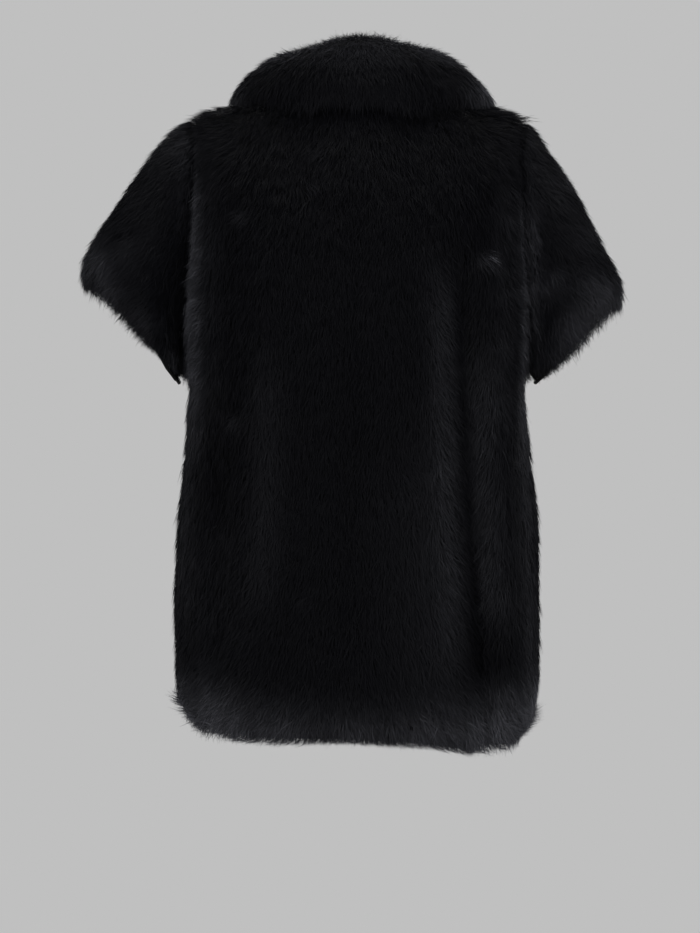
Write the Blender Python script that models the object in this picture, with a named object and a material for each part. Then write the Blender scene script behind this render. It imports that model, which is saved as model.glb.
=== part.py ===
"""Faux fur vest in the shape it has on a wearer, with no wearer: back, two fronts, two short wide
sleeves and a turned-down collar, each a wall of cloth and pile. Metres, +Z up, front towards -Y,
the wearer's left towards +X. The origin is the middle of the neck, level with the underside of the
shoulder seams, where the wearer's shoulders carry the vest."""

import math

import bpy
import numpy as np
from mathutils import Vector
from mathutils.bvhtree import BVHTree

# Cloth: knitted backing with its pile lying over it.
PILE_WALL = 0.024
EDGE_WALL = 0.006
SEAM_GAP = 0.0003
SEAM_HALF = SEAM_GAP / 2
SLEEVE_GAP = 0.0003
COLLAR_GAP = 0.0012
COLLAR_FOOT_SHARE = 0.35

# Trunk below the arms, one row for each height: half widths to the wearer's left and right, and
# how far the back and the fronts stand from the side seams.
TRUNK_COLUMNS = ("height", "left", "right", "back", "front")
TRUNK_ROWS = (
    (-0.770, 0.214, 0.211, 0.172, 0.168),
    (-0.720, 0.218, 0.213, 0.173, 0.170),
    (-0.650, 0.218, 0.218, 0.172, 0.171),
    (-0.560, 0.220, 0.218, 0.169, 0.170),
    (-0.470, 0.215, 0.217, 0.166, 0.169),
    (-0.400, 0.207, 0.207, 0.164, 0.168),
    (-0.315, 0.202, 0.200, 0.162, 0.167),
)
TRUNK_SQUARENESS = 2.3
UNDERARM = -0.315

# Hem height against the distance from the middle, wearer's right to left, on the back.
HEM_X = (-0.22, -0.195, -0.155, -0.08, 0.0, 0.07, 0.15, 0.195, 0.22)
HEM_BACK = (-0.724, -0.750, -0.757, -0.744, -0.738, -0.737, -0.736, -0.729, -0.700)
HEM_FRONT = (-0.724, -0.737, -0.739, -0.740, -0.742, -0.740, -0.736, -0.729, -0.700)
HEM_ROUND = 0.034
HEM_STEPS = (0.0, 0.003, 0.010, 0.020, 0.034)
TRUNK_STEPS = 9

# Shoulders, neck and armholes.
SHOULDER_X, SHOULDER_Z = 0.190, 0.009
NECK_X, NECK_SIDE_Z = 0.085, 0.034
NECKLINE_DEPTH = {"back": 0.080, "front": 0.125}
NECK_CREST_Z = {"back": 0.077, "front": 0.050}
ARMHOLE_DEPTH = {"back": 0.064, "front": 0.064}
ARMHOLE_CORNER = 0.40
ARMHOLE_TURN = 0.045
ARMHOLE_EDGE = 0.05
UNDERARM_LIFT = 0.008
SHOULDER_ROUND = 2.4
YOKE_STEPS = (0.0, 0.02, 0.06, 0.13, 0.24, 0.38, 0.53, 0.68, 0.81, 0.91, 0.97, 1.0)
NECK_ANGLES = (90.0, 72.0, 55.0, 39.0, 25.0, 12.0, 0.0)
SIDE_STEPS = 13

# The fronts meet edge to edge at the middle.
FRONT_HALF_GAP = 0.0006
FRONT_EDGE_X = (FRONT_HALF_GAP, 0.004, 0.010, 0.018)
FRONT_EDGE_ROUND = 0.018
FRONT_EDGE_DROP = 0.009

# Hanging folds: middle at the top and bottom of the fold, its ends in height, half width, and
# height above the cloth, negative for a valley.
FOLD_COLUMNS = ("top_x", "bottom_x", "top_z", "bottom_z", "half_width", "rise")
BACK_FOLDS = (
    (-0.122, -0.158, -0.130, -0.770, 0.019, -0.015),
    (-0.096, -0.104, -0.140, -0.700, 0.026, 0.007),
    (-0.168, -0.190, -0.180, -0.700, 0.018, 0.006),
    (0.004, 0.018, -0.080, -0.640, 0.022, -0.007),
    (0.118, 0.126, -0.130, -0.600, 0.028, 0.006),
    (0.166, 0.170, -0.340, -0.680, 0.018, -0.006),
    (0.060, 0.074, -0.300, -0.770, 0.018, -0.004),
)
FRONT_FOLDS = (
    (0.128, 0.146, -0.200, -0.770, 0.020, -0.012),
    (0.096, 0.100, -0.180, -0.700, 0.024, 0.006),
    (0.052, 0.060, -0.260, -0.770, 0.018, -0.006),
    (-0.122, -0.150, -0.220, -0.770, 0.020, -0.011),
    (-0.090, -0.100, -0.180, -0.700, 0.024, 0.006),
    (-0.050, -0.056, -0.300, -0.770, 0.018, -0.005),
)
FOLD_FADE = 0.090
SEAM_FLATNESS = 14
VALLEY_SHARE_INSIDE, RIDGE_SHARE_INSIDE = 1.0, 0.5

# Sleeve sections from the shoulder to the cuff: the section's top and bottom points in the front
# view, and its half depth. The first section is the armhole itself.
SLEEVE_COLUMNS = ("along", "top_x", "top_z", "bottom_x", "bottom_z", "half_depth")
SLEEVE_ROWS = {
    "left": (
        (0.08, 0.206, 0.001, 0.2050, -0.3125, 0.0670),
        (0.19, 0.225, -0.013, 0.2058, -0.3130, 0.0705),
        (0.34, 0.244, -0.036, 0.2060, -0.3137, 0.0755),
        (0.48, 0.261, -0.060, 0.2064, -0.3145, 0.0805),
        (0.61, 0.277, -0.084, 0.2068, -0.3160, 0.0850),
        (0.74, 0.291, -0.108, 0.2072, -0.3180, 0.0890),
        (0.87, 0.309, -0.134, 0.2076, -0.3205, 0.0940),
        (1.00, 0.342, -0.184, 0.2080, -0.3240, 0.1000),
    ),
    "right": (
        (0.08, 0.204, -0.001, 0.2030, -0.3125, 0.0670),
        (0.18, 0.213, -0.014, 0.2038, -0.3130, 0.0695),
        (0.32, 0.230, -0.036, 0.2048, -0.3138, 0.0745),
        (0.45, 0.248, -0.060, 0.2052, -0.3146, 0.0795),
        (0.57, 0.263, -0.084, 0.2058, -0.3160, 0.0840),
        (0.70, 0.276, -0.112, 0.2066, -0.3180, 0.0880),
        (0.84, 0.294, -0.150, 0.2072, -0.3210, 0.0930),
        (1.00, 0.330, -0.206, 0.2080, -0.3260, 0.1000),
    ),
}
SLEEVE_STATIONS = (0.10, 0.22, 0.36, 0.52, 0.68, 0.82, 0.91, 0.965, 1.0)
SLEEVE_ROUND = 2.25
SLEEVE_LEAST_TILT = -0.20
CUFF_HOLLOW = {"left": 0.020, "right": 0.012}
SEAM_TURN = 0.30
STEEPEST_SHARE = 0.3
CUFF_ROUND = 0.026
UNDERARM_WALL = 0.012
CUFF_WAVES, CUFF_WAVE_RISE = 3, 0.004

# Collar: from the nape round the shoulder to the throat, the height of the roll above the neck
# seam, and the height where the leaf's edge lies on the vest.
COLLAR_COLUMNS = ("turn", "roll_height", "edge_height")
COLLAR_ROWS = (
    (0.0, 0.045, 0.012),
    (45.0, 0.046, 0.012),
    (80.0, 0.041, 0.021),
    (100.0, 0.040, 0.020),
    (125.0, 0.036, -0.015),
    (155.0, 0.032, -0.075),
    (180.0, 0.028, -0.125),
)
REACH_LEAST, REACH_MOST, REACH_STEP = 0.012, 0.070, 0.001
SECTIONS_BETWEEN = 2
REACH_EVENING = 6
COLLAR_RIGHT_GROWTH = (1.12, 1.22)
LYING_SHARES = (0.10, 0.25, 0.45, 0.65, 0.84)
BESIDE, BESIDE_FRONT_EDGE = 0.009, 0.016
COLLAR_STAND = 0.026
LEAF_WALL, LEAF_EDGE_SHARE = 0.024, 0.58
LEAF_CLEARANCE = 0.003
COLLAR_END_ROUND = 0.030
COLLAR_END_LEAST = 0.35

COLLECTION = "fur_vest"
PILE_COLOUR = (0.004, 0.004, 0.0045, 1.0)
PILE_ROUGHNESS = 0.8


def clear_scene():
    for item in list(bpy.data.objects):
        bpy.data.objects.remove(item)


def pile_material(name):
    material = bpy.data.materials.new(name)
    material.use_nodes = True
    shader = material.node_tree.nodes["Principled BSDF"]
    shader.inputs["Base Color"].default_value = PILE_COLOUR
    shader.inputs["Roughness"].default_value = PILE_ROUGHNESS
    shader.inputs["Metallic"].default_value = 0.0
    return material


def smooth(share):
    share = np.clip(share, 0.0, 1.0)
    return share * share * (3.0 - 2.0 * share)


def quarter_round(share):
    """Rises from 0 to 1 as a quarter circle does."""
    share = np.clip(share, 0.0, 1.0)
    return np.sqrt(1.0 - (1.0 - share) ** 2)


def unit(vectors):
    return vectors / np.linalg.norm(vectors, axis=-1, keepdims=True)


def table(rows, columns, name):
    return np.array([row[columns.index(name)] for row in rows])


def trunk_size(height, name):
    return np.interp(
        height,
        table(TRUNK_ROWS, TRUNK_COLUMNS, "height"),
        table(TRUNK_ROWS, TRUNK_COLUMNS, name),
    )


def crown(across):
    """Depth of the trunk's section, 0 at the side seams and 1 in the middle."""
    return (1.0 - np.abs(across) ** TRUNK_SQUARENESS) ** (1.0 / TRUNK_SQUARENESS)


def half_columns():
    """Places across half a panel, from the middle (0) to the side seam (1)."""
    neck_share = NECK_X / SHOULDER_X
    neck = [neck_share * math.cos(math.radians(a)) for a in NECK_ANGLES]
    start = math.acos(neck_share ** (TRUNK_SQUARENESS / 2.0))
    angles = [start * (1.0 - i / SIDE_STEPS) for i in range(1, SIDE_STEPS + 1)]
    return neck + [math.cos(a) ** (2.0 / TRUNK_SQUARENESS) for a in angles]


def top_line(across, side):
    """Height of the shoulder line, carried on over the neck, and the share of the way up it where
    the panel ends: all of it along the shoulder seam, less along the neckline."""
    x = np.abs(across) * SHOULDER_X
    inside = np.clip(x / NECK_X, 0.0, 1.0)
    slope = np.clip((x - NECK_X) / (SHOULDER_X - NECK_X), 0.0, 1.0)
    shoulder = NECK_SIDE_Z + (SHOULDER_Z - NECK_SIDE_Z) * slope**1.25
    crest = shoulder + (NECK_CREST_Z[side] - NECK_SIDE_Z) * (1.0 - inside**2) ** 2
    neckline = NECKLINE_DEPTH[side] * np.sqrt(1.0 - inside**2)
    full = np.maximum(trunk_size(UNDERARM, side) * crown(across), 1e-6)
    reach = np.clip(1.0 - (neckline / full) ** SHOULDER_ROUND, 0.0, 1.0)
    ends = np.where(x < NECK_X - 1e-6, reach ** (1.0 / SHOULDER_ROUND), 1.0)
    return crest, ends


def trunk_row(across, side, hem_step=None, share=None):
    """One row of the smooth trunk: a step above the hem, or a share of the way to the underarm."""
    hem_x = across * 0.22
    hem = np.interp(hem_x, HEM_X, HEM_BACK if side == "back" else HEM_FRONT)
    start = hem + HEM_STEPS[-1]
    height = hem + hem_step if share is None else start + (UNDERARM - start) * share
    width = np.where(across > 0, trunk_size(height, "left"), trunk_size(height, "right"))
    depth = trunk_size(height, side) * crown(across)
    facing = 1.0 if side == "back" else -1.0
    return np.stack([width * across, facing * depth, height], axis=-1)


def armhole_depth(share, side):
    return ARMHOLE_DEPTH[side] * quarter_round(share / ARMHOLE_CORNER)


def yoke_row(across, side, share):
    """One row of the smooth yoke, from the underarm (0) to the shoulder seam and neckline (1)."""
    crest, ends = top_line(across, side)
    up = share * ends
    below = np.where(across > 0, trunk_size(UNDERARM, "left"), trunk_size(UNDERARM, "right"))
    width = below + (SHOULDER_X - below) * smooth(up)
    at_edge = np.abs(across) ** 10
    fuller = ARMHOLE_DEPTH[side] * smooth(up / (2.0 * ARMHOLE_CORNER))
    edge_depth = armhole_depth(share, side) * at_edge + fuller * (1.0 - at_edge)
    depth = edge_depth + (trunk_size(UNDERARM, side) - edge_depth) * crown(across)
    facing = 1.0 if side == "back" else -1.0
    over_shoulder = (1.0 - up**SHOULDER_ROUND) ** (1.0 / SHOULDER_ROUND)
    return np.stack(
        [width * across, facing * depth * over_shoulder, UNDERARM + (crest - UNDERARM) * up],
        axis=-1,
    )


def panel_form(across, side):
    """Rows of points on the smooth outside of the pile, from the hem to the top edge."""
    rows = [trunk_row(across, side, hem_step=step) for step in HEM_STEPS]
    shares = [i / TRUNK_STEPS for i in range(1, TRUNK_STEPS)]
    rows += [trunk_row(across, side, share=share) for share in shares]
    rows += [yoke_row(across, side, share) for share in YOKE_STEPS]
    return np.array(rows)


def evened(vectors):
    """Each vector averaged with its neighbours in the grid."""
    for axis in (0, 1):
        pad = [(1, 1) if i == axis else (0, 0) for i in range(3)]
        wide = np.pad(vectors, pad, mode="edge")
        ends = [np.take(wide, range(k, k + vectors.shape[axis]), axis=axis) for k in (0, 1, 2)]
        vectors = (ends[0] + 2.0 * ends[1] + ends[2]) / 4.0
    return unit(vectors)


def grid_normals(points, outward):
    """Normals of a grid of points, turned to the side that outward names at its middle."""
    along = np.gradient(points, axis=0)
    across = np.gradient(points, axis=1)
    normals = evened(evened(unit(np.cross(across, along))))
    middle = tuple(n // 2 for n in points.shape[:2])
    return normals if np.dot(normals[middle], outward) > 0 else -normals


def fold_rise(points, folds):
    x, z = points[..., 0], points[..., 2]
    rise = np.zeros(x.shape)
    for row in folds:
        top_x, bottom_x, top_z, bottom_z, half_width, height = row
        down = np.clip((top_z - z) / (top_z - bottom_z), 0.0, 1.0)
        middle = top_x + (bottom_x - top_x) * down
        fade_in = smooth((top_z - z) / FOLD_FADE)
        fade_out = smooth((z - bottom_z + FOLD_FADE) / FOLD_FADE)
        rise += height * np.exp(-(((x - middle) / half_width) ** 2)) * fade_in * fade_out
    return rise


def armhole_nearness(across):
    return 1.0 - smooth((1.0 - np.abs(across)) / ARMHOLE_EDGE)


def turn_armhole_rim(normals, across, side, start):
    """Lets the wall's rim face the sleeve: at the armhole its thickness lies front to back above
    the underarm, and turns into the side seam's below."""
    near_edge = armhole_nearness(across)
    facing = 1.0 if side == "back" else -1.0
    for row, share in enumerate(YOKE_STEPS):
        turned = float(smooth(armhole_depth(share, side) / ARMHOLE_TURN))
        now = normals[start + row]
        target = np.zeros_like(now)
        target[:, 0] = np.sign(across) * (1.0 - turned)
        target[:, 1] = facing * turned
        target[:, 2] = now[:, 2] / np.maximum(np.hypot(now[:, 1], now[:, 2]), 1e-6) * turned
        target[:, 1] *= np.abs(now[:, 1]) / np.maximum(np.hypot(now[:, 1], now[:, 2]), 1e-6)
        size = np.maximum(np.linalg.norm(target, axis=-1, keepdims=True), 1e-9)
        normals[start + row] = unit(
            now * (1.0 - near_edge[:, None]) + target / size * near_edge[:, None]
        )
    return normals


def panel_walls(across, side, front_edge=False):
    """Outer and inner grids of one panel's wall."""
    form = panel_form(across, side)
    facing = 1.0 if side == "back" else -1.0
    normals = grid_normals(form, (0.0, facing, 0.0))
    on_side_seam = np.abs(across) > 0.999
    trunk_rows = len(HEM_STEPS) + TRUNK_STEPS
    normals[:trunk_rows, on_side_seam, 1] = 0.0
    on_shoulder = np.abs(across) * SHOULDER_X > NECK_X - 1e-6
    normals = turn_armhole_rim(normals, across, side, trunk_rows - 1)
    normals[-1, on_shoulder, 1] = 0.0
    normals = unit(normals)

    rise = fold_rise(form, BACK_FOLDS if side == "back" else FRONT_FOLDS)
    rise *= 1.0 - np.abs(across) ** SEAM_FLATNESS
    inside = np.where(rise < 0, rise * VALLEY_SHARE_INSIDE, rise * RIDGE_SHARE_INSIDE)
    hem_drop = (PILE_WALL - EDGE_WALL) * (1.0 - quarter_round(np.array(HEM_STEPS) / HEM_ROUND))
    drop = np.zeros(rise.shape)
    drop[: len(HEM_STEPS)] = hem_drop[:, None]
    if front_edge:
        inward = (np.abs(form[..., 0]) - FRONT_HALF_GAP) / FRONT_EDGE_ROUND
        drop = np.maximum(drop, FRONT_EDGE_DROP * (1.0 - quarter_round(inward)))
    rise -= drop
    outer = form + normals * rise[..., None]
    inner = form - normals * (PILE_WALL - inside)[..., None]

    inner[trunk_rows - 1, :, 2] += UNDERARM_LIFT * armhole_nearness(across)

    # Each seam keeps half its gap on this side of the side and shoulder seams' plane.
    for grid in (outer, inner):
        grid[:trunk_rows, on_side_seam, 1] = facing * SEAM_HALF
        grid[-1, on_shoulder, 1] = facing * SEAM_HALF
    if front_edge:
        for grid in (outer, inner):
            grid[:, 0, 0] = math.copysign(FRONT_HALF_GAP, across[-1])
    return outer, inner


def add_mesh(name, points, faces):
    mesh = bpy.data.meshes.new(name)
    mesh.from_pydata([tuple(p) for p in points], [], faces)
    mesh.materials.append(pile_material(name))
    mesh.shade_smooth()
    item = bpy.data.objects.new(name, mesh)
    bpy.data.collections[COLLECTION].objects.link(item)
    return item


def split(near_outer, far_outer, far_inner, near_inner, turned=False):
    """Two triangles of a rim; every seam's two rims are split the same way."""
    if turned:
        return [(far_outer, far_inner, near_inner), (far_outer, near_inner, near_outer)]
    return [(near_outer, far_outer, far_inner), (near_outer, far_inner, near_inner)]


def add_wall(name, outer, inner, tube=False):
    """A closed wall lofted between two unlike grids, its faces made row by row. In a tube the
    last column joins the first."""
    rows, columns = outer.shape[:2]
    points = np.concatenate([outer.reshape(-1, 3), inner.reshape(-1, 3)])
    spans = columns if tube else columns - 1

    def at(layer, row, column):
        return layer * rows * columns + row * columns + column % columns

    faces = []
    for r in range(rows - 1):
        for c in range(spans):
            ring = [(r, c), (r, c + 1), (r + 1, c + 1), (r + 1, c)]
            faces.append([at(0, *corner) for corner in ring])
            faces.append([at(1, *corner) for corner in reversed(ring)])
    top = rows - 1
    for c in range(spans):
        down_again = tube and c >= spans // 2
        start = split(at(0, 0, c), at(0, 0, c + 1), at(1, 0, c + 1), at(1, 0, c), down_again)
        end = split(at(0, top, c), at(0, top, c + 1), at(1, top, c + 1), at(1, top, c))
        faces += [triangle[::-1] for triangle in start] + end
    if not tube:
        side = columns - 1
        for r in range(rows - 1):
            first = split(at(0, r, 0), at(0, r + 1, 0), at(1, r + 1, 0), at(1, r, 0))
            last = split(
                at(0, r, side), at(0, r + 1, side), at(1, r + 1, side), at(1, r, side)
            )
            faces += first + [triangle[::-1] for triangle in last]
    item = add_mesh(name, points, faces)
    face_outwards(item)
    return item


def face_outwards(item):
    """Turns the whole closed mesh round if its volume is negative."""
    mesh = item.data
    mesh.calc_loop_triangles()
    corners = [[mesh.vertices[i].co for i in tri.vertices] for tri in mesh.loop_triangles]
    if sum(a.dot(b.cross(c)) for a, b, c in corners) < 0:
        mesh.flip_normals()


def section_sizes(side, along):
    rows = SLEEVE_ROWS[side]
    places = table(rows, SLEEVE_COLUMNS, "along")
    names = SLEEVE_COLUMNS[1:]
    return [np.interp(along, places, table(rows, SLEEVE_COLUMNS, name)) for name in names]


def armhole_ring(panels, column):
    """The armhole's outer and inner points, up the back and down the front, as one closed ring."""
    start = len(HEM_STEPS) + TRUNK_STEPS - 1
    rings = []
    for layer in (0, 1):
        back = panels["back"][layer][start:, column["back"]]
        front = panels["front"][layer][start:, column["front"]]
        rings.append(np.concatenate([back, front[-2:0:-1]]))
    for ring in rings:
        ring[0, 1] = 0.0
        ring[len(YOKE_STEPS) - 1, 1] = 0.0
    return rings[0], rings[1]


def stand_off(outer_ring, inner_ring, facing):
    """The armhole's rim moved the seam's gap off the panels, towards the sleeve."""
    count = len(outer_ring)
    points = np.concatenate([outer_ring, inner_ring])
    meeting = [[] for _ in points]
    for c in range(count):
        after = (c + 1) % count
        for corners in split(c, after, count + after, count + c, c >= count // 2):
            first, second, third = points[list(corners)]
            normal = unit(np.cross(second - first, third - first))
            for corner in corners:
                meeting[corner].append(normal)
    shifts = []
    for normals in meeting:
        middle = unit(sum(normals))
        shifts.append(middle / max(min(np.dot(normals, middle)), STEEPEST_SHARE))
    shifts = np.array(shifts)
    way = np.sign(shifts[len(YOKE_STEPS) - 1, 0]) * facing
    moved = points + shifts * way * SLEEVE_GAP
    return moved[:count], moved[count:]


def add_sleeve(name, side, panels, column):
    outer_ring, inner_ring = armhole_ring(panels, column)
    facing = 1.0 if side == "left" else -1.0
    shares = np.array(YOKE_STEPS)
    climb = np.concatenate([shares, shares[-2:0:-1]]) * 2.0 - 1.0
    bulge = (1.0 - np.abs(climb) ** SLEEVE_ROUND) ** (1.0 / SLEEVE_ROUND)
    bulge[len(shares) :] *= -1.0
    start_outer, start_inner = stand_off(outer_ring, inner_ring, facing)
    rings = [start_outer]
    for along in SLEEVE_STATIONS:
        top_x, top_z, bottom_x, bottom_z, half_depth = section_sizes(side, along)
        x = (top_x + bottom_x) / 2 + climb * (top_x - bottom_x) / 2
        x -= CUFF_HOLLOW[side] * along**2 * bulge**2 * smooth((climb + 1.0) / 0.8)
        z = (top_z + bottom_z) / 2 + climb * (top_z - bottom_z) / 2
        rings.append(np.stack([facing * x, bulge * half_depth, z], axis=-1))
    form = np.array(rings)

    wrapped = np.concatenate([form[:, -1:], form, form[:, :1]], axis=1)
    along_steps = np.gradient(wrapped, axis=0)
    round_steps = np.gradient(wrapped, axis=1)
    normals = unit(np.cross(along_steps, round_steps))[:, 1:-1]
    if normals[4, len(YOKE_STEPS) - 1, 2] < 0:
        normals = -normals
    normals[..., 0] = facing * np.maximum(normals[..., 0] * facing, SLEEVE_LEAST_TILT)
    normals = unit(normals)

    stations = np.array((0.0, *SLEEVE_STATIONS))
    length = np.linalg.norm(form[-1] - form[0], axis=-1)
    from_cuff = (1.0 - stations)[:, None] * length[None, :]
    thin = smooth((climb + 1.0) / 0.9)
    wall = UNDERARM_WALL + (PILE_WALL - UNDERARM_WALL) * thin
    drop = (wall - EDGE_WALL) * (1.0 - quarter_round(from_cuff / CUFF_ROUND))
    angle = np.arctan2(bulge, climb)
    wave = CUFF_WAVE_RISE * np.sin(CUFF_WAVES * angle + 0.6 * facing) * thin
    rise = wave * smooth((stations[:, None] - 0.3) / 0.6) - drop * smooth(stations[:, None] / 0.5)
    outer = form + normals * rise[..., None]
    through = (inner_ring - outer_ring)[None]
    turn_length = SEAM_TURN * (0.2 + 0.8 * smooth((climb + 1.0) / 0.5))
    settled = smooth(stations[:, None] / turn_length)[..., None]
    inner = form + through * (1.0 - settled) - normals * wall[None, :, None] * settled
    outer[0] = start_outer
    inner[0] = start_inner
    return add_wall(name, outer, inner, tube=True)


def neck_path(panels):
    """Outer and inner points of the neck seam, right throat round the nape to the left throat."""
    outer, inner = [], []
    for key, layer_points in (("outer", outer), ("inner", inner)):
        layer = 0 if key == "outer" else 1
        right = panels["front_right"][layer][-1]
        left = panels["front_left"][layer][-1]
        back = panels["back"][layer][-1]
        inside = NECK_X + 1e-6
        right = right[np.abs(panels["front_right"][2]) * SHOULDER_X < inside]
        left = left[np.abs(panels["front_left"][2]) * SHOULDER_X < inside]
        back = back[np.abs(panels["back"][2]) * SHOULDER_X < inside]
        layer_points.extend(right)
        layer_points.extend(back[1:-1])
        layer_points.extend(left[::-1])
    return np.array(outer), np.array(inner)


def leaf_reach(foot, outwards, surface_height, edge_height):
    """How far out the surface of the vest first lies as low as the leaf's edge."""
    reach = REACH_LEAST
    while reach < REACH_MOST and surface_height(foot + outwards * reach) > edge_height:
        reach += REACH_STEP
    return reach


def collar_section(foot_outer, foot_inner, outwards, sizes, surface_height):
    """One closed section of the collar, in its own upright plane out from the neck."""
    roll, reach, stand, leaf = sizes
    rise = np.array([0.0, 0.0, 1.0])
    along = np.array([-outwards[1], outwards[0], 0.0])

    def lying(share):
        place = foot_outer + outwards * reach * share
        beside = (-BESIDE, 0.0, BESIDE)
        place[2] = max(surface_height(place + along * step) for step in beside)
        return place + (rise + outwards) * LEAF_CLEARANCE

    def standing(out, up):
        return foot_outer + outwards * out + rise * up

    under = [lying(share) for share in LYING_SHARES]
    lip = lying(1.0)
    down = unit(lip - under[-2])
    away = unit(np.cross(down, np.cross(rise, outwards)))
    away = away if away[2] > 0 else -away
    at_throat = float(smooth((-outwards[1] - 0.4) / 0.4))
    edge = leaf * (LEAF_EDGE_SHARE + (1.0 - LEAF_EDGE_SHARE) * at_throat)
    edge_top = lip + away * edge
    shoulder_point = standing(0.22 * reach, 0.86 * roll) + away * leaf * 0.28
    halfway = (edge_top + shoulder_point) / 2 + away * leaf * (0.10 + 0.12 * at_throat)
    return [
        foot_inner,
        foot_outer,
        *under,
        lip,
        lip + away * edge * 0.45 + down * edge * 0.28,
        edge_top,
        halfway,
        shoulder_point,
        standing(0.004, roll),
        standing(-0.55 * stand, 0.96 * roll),
        standing(-stand, 0.70 * roll),
        (standing(-stand, 0.3 * roll) + foot_inner) / 2,
    ]


def surface_tree(panels):
    faces, points = [], []
    for name in ("back", "front_left", "front_right"):
        grid = panels[name][0]
        rows, columns = grid.shape[:2]
        start = len(points)
        points.extend(Vector(p) for p in grid.reshape(-1, 3))
        for r in range(rows - 1):
            for c in range(columns - 1):
                first = start + r * columns + c
                faces.append((first, first + 1, first + columns + 1, first + columns))
    return BVHTree.FromPolygons(points, faces)


def add_collar(panels):
    outer, inner = neck_path(panels)
    tree = surface_tree(panels)

    def surface_height(place):
        x = math.copysign(max(abs(place[0]), BESIDE_FRONT_EDGE), place[0])
        hit = tree.ray_cast(Vector((x, place[1], 0.5)), Vector((0, 0, -1)))[0]
        return hit.z if hit else place[2]

    run = np.gradient(outer, axis=0)
    lift = unit(np.cross(run, outer - inner))
    if lift[len(outer) // 2, 2] < 0:
        lift = -lift
    outer, inner = outer + lift * COLLAR_GAP, inner + lift * COLLAR_GAP
    inner = outer + (inner - outer) * COLLAR_FOOT_SHARE
    places = np.linspace(0, len(outer) - 1, (len(outer) - 1) * SECTIONS_BETWEEN + 1)
    feet = [np.stack([np.interp(places, range(len(g)), g[:, i]) for i in range(3)], axis=1)
            for g in (outer, inner)]
    turns = table(COLLAR_ROWS, COLLAR_COLUMNS, "turn")
    sizes, ways = [], []
    for foot in feet[0]:
        outwards = unit(np.array([foot[0], foot[1], 0.0]))
        turn = math.degrees(math.atan2(abs(outwards[0]), outwards[1]))
        roll, edge = (
            float(np.interp(turn, turns, table(COLLAR_ROWS, COLLAR_COLUMNS, name)))
            for name in COLLAR_COLUMNS[1:]
        )
        growth = COLLAR_RIGHT_GROWTH if foot[0] < 0 else (1.0, 1.0)
        growth = [1.0 + (g - 1.0) * abs(outwards[0]) for g in growth]
        reach = leaf_reach(foot, outwards, surface_height, edge)
        sizes.append((roll * growth[0], reach * growth[1]))
        ways.append(outwards)
    sizes = np.array(sizes)
    for _ in range(REACH_EVENING):
        wide = np.pad(sizes[:, 1], 1, mode="edge")
        sizes[:, 1] = (wide[:-2] + wide[1:-1] + wide[2:]) / 3.0
    sections = []
    for foot_outer, foot_inner, outwards, (roll, reach) in zip(*feet, ways, sizes):
        from_end = (abs(foot_outer[0]) - FRONT_HALF_GAP) / COLLAR_END_ROUND
        end = float(quarter_round(from_end)) if foot_outer[1] < 0 else 1.0
        keep = COLLAR_END_LEAST + (1.0 - COLLAR_END_LEAST) * end
        own_sizes = (roll * keep, reach * keep, COLLAR_STAND * keep, LEAF_WALL * keep)
        sections.append(
            collar_section(foot_outer, foot_inner, outwards, own_sizes, surface_height)
        )
    sections = np.array(sections)
    for end, sign in ((0, -1.0), (-1, 1.0)):
        sections[end, :, 0] = sign * FRONT_HALF_GAP
    count, size = sections.shape[:2]
    walls = []
    for s in range(count - 1):
        for k in range(size):
            nxt = (k + 1) % size
            walls.append(
                (s * size + k, s * size + nxt, (s + 1) * size + nxt, (s + 1) * size + k)
            )
    caps = [tuple(range(size))[::-1], tuple((count - 1) * size + k for k in range(size))]
    item = add_mesh("collar", sections.reshape(-1, 3), walls + caps)
    face_outwards(item)
    return item


def main():
    clear_scene()
    bpy.context.scene.collection.children.link(bpy.data.collections.new(COLLECTION))
    half = np.array(half_columns())
    back_across = np.concatenate([-half[:0:-1], half])
    front_middle = np.array(FRONT_EDGE_X) / SHOULDER_X
    left_across = np.concatenate([front_middle, half[1:]])

    panels = {
        "back": (*panel_walls(back_across, "back"), back_across),
        "front_left": (*panel_walls(left_across, "front", front_edge=True), left_across),
        "front_right": (*panel_walls(-left_across, "front", front_edge=True), -left_across),
    }
    for name, (outer, inner, _) in panels.items():
        add_wall(name, outer, inner)
    for side, back_column in (("left", -1), ("right", 0)):
        pair = {"back": panels["back"], "front": panels[f"front_{side}"]}
        add_sleeve(f"sleeve_{side}", side, pair, {"back": back_column, "front": -1})
    add_collar(panels)


main()
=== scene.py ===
import math

import bmesh
import bpy
import numpy as np
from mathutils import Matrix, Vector
from mathutils.bvhtree import BVHTree
from mathutils.kdtree import KDTree


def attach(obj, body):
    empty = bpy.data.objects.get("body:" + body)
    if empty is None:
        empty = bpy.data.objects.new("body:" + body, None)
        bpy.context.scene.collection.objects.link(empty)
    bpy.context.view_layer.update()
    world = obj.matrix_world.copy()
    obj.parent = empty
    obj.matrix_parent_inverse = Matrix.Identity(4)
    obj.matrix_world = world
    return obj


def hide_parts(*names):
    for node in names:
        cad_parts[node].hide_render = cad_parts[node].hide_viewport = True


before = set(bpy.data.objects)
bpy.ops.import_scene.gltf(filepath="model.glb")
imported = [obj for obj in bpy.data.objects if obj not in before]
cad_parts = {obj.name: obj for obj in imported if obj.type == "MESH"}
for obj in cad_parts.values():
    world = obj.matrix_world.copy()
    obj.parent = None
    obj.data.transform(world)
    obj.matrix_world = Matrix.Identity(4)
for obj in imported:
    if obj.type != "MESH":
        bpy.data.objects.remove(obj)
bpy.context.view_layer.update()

# Sizes are in metres. Where a change in the pile is given by a pair, it starts at the first value
# and is complete one width, the second value, further on.

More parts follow.
